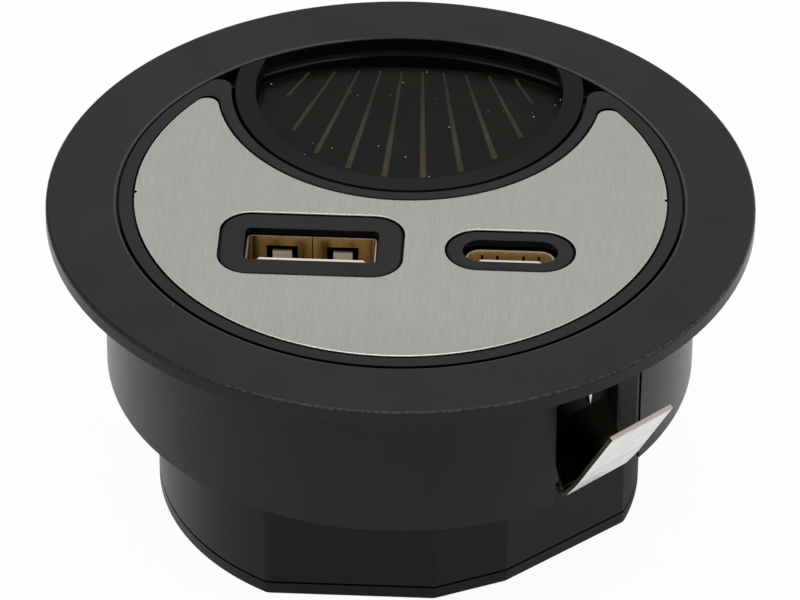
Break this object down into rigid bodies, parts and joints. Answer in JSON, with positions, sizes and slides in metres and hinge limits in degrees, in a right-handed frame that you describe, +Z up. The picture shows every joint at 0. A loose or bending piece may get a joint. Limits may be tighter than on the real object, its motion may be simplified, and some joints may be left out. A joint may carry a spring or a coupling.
{
  "type": "in-desk usb charger",
  "caption": "Round black charger that drops into a desk hole, with USB-A and USB-C sockets in a brushed crescent plate, a slitted cable outlet behind them and spring clips on its skirt.",
  "frame": {"origin": "middle of the desk hole on the desk's surface, at the underside of the flange", "axes": "+Z up out of the desk, -Y towards the sockets' side, +Y towards the cable outlet"},
  "size_m": [0.0706, 0.0706, 0.0343],
  "materials": {
    "ring_black": "satin black moulded plastic with a fine grain",
    "face_black": "satin black moulded plastic, smoother than the ring",
    "plate_aluminium": "brushed and clear anodised, grain running front to back",
    "membrane_black": "black flexible sheet with a slight gloss",
    "housing_black": "satin black moulded plastic",
    "spring_steel": "bright spring strip",
    "socket_steel": "nickel-plated sheet",
    "socket_plastic": "ivory insulating plastic",
    "contact_gold": "gold-plated",
    "screw_steel": "zinc-plated",
    "board_green": "green lacquer",
    "ferrite_grey": "dark ferrite",
    "winding_copper": "enamelled copper wire",
    "can_aluminium": "bare can",
    "chip_black": "moulded package",
    "inlet_black": "matte black plastic",
    "lead_red": "insulated lead"
  },
  "bodies": {
    "charger": {"flange_ring": "ring_black", "face_insert": "face_black", "face_plate": "plate_aluminium", "lower_housing": "housing_black", "base_cover": "housing_black", "front_clip_leg": "spring_steel", "rear_clip_leg": "spring_steel", "usb_a_shell": "socket_steel", "usb_c_shell": "socket_steel", "usb_a_tongue": "socket_plastic", "usb_c_tongue": "socket_plastic", "usb_a_contacts": "contact_gold", "usb_c_contacts": "contact_gold", "inlet_pin": "contact_gold", "case_screws": "screw_steel", "board_screws": "screw_steel", "circuit_board": "board_green", "power_inductor": "ferrite_grey", "inductor_winding": "winding_copper", "filter_capacitors": "can_aluminium", "controller_chip": "chip_black", "power_inlet": "inlet_black", "supply_leads": "lead_red"},
    "cable_insert": {"cable_frame": "face_black", "finger_membrane": "membrane_black"},
    "front_leaf": {"front_clip_leaf": "spring_steel"},
    "rear_leaf": {"rear_clip_leaf": "spring_steel"}
  },
  "joints": [
    {"name": "front_leaf_flex", "type": "hinge", "parent": "charger", "child": "front_leaf", "pos_m": [0.01987, -0.02057, -0.0162], "axis": [-0.7193, -0.6947, 0], "range_deg": [0, 30], "stiffness_Nm_per_rad": 0.1},
    {"name": "rear_leaf_flex", "type": "hinge", "parent": "charger", "child": "rear_leaf", "pos_m": [-0.01987, 0.02057, -0.0162], "axis": [0.7193, 0.6947, 0], "range_deg": [0, 30], "stiffness_Nm_per_rad": 0.1},
    {"name": "cable_insert_lift", "type": "slide", "parent": "charger", "child": "cable_insert", "axis": [0, 0, 1], "range_m": [0, 0.008]}
  ]
}
